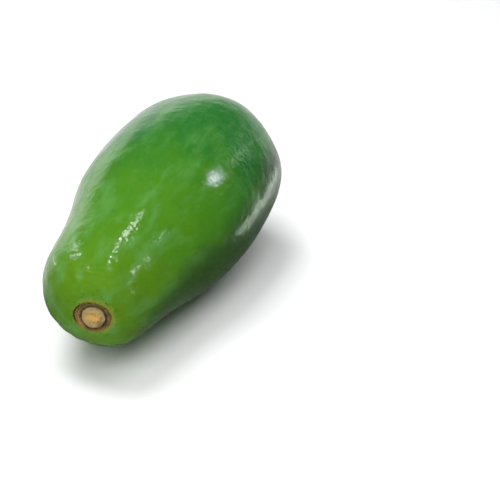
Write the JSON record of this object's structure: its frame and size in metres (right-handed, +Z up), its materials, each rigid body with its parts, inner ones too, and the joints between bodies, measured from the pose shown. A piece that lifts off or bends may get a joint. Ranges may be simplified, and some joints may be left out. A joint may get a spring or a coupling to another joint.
{
  "type": "papaya",
  "caption": "Whole unripe papaya with green skin, lying on its side, with the cut stub of its stalk at the narrow end.",
  "frame": {"origin": "below the middle of the fruit's box, on the surface that it rests on", "axes": "+Z up; +Y along the fruit, from its stem end to its blossom end; +X to the right seen from the stem end"},
  "size_m": [0.1136, 0.2385, 0.1106],
  "materials": {
    "green_skin": "smooth waxy unripe skin, mottled green, glossy",
    "cut_stalk": "dry cut stalk, matt"
  },
  "bodies": {
    "root": {"papaya_fruit": "green_skin", "stem_stub": "cut_stalk"}
  },
  "joints": []
}
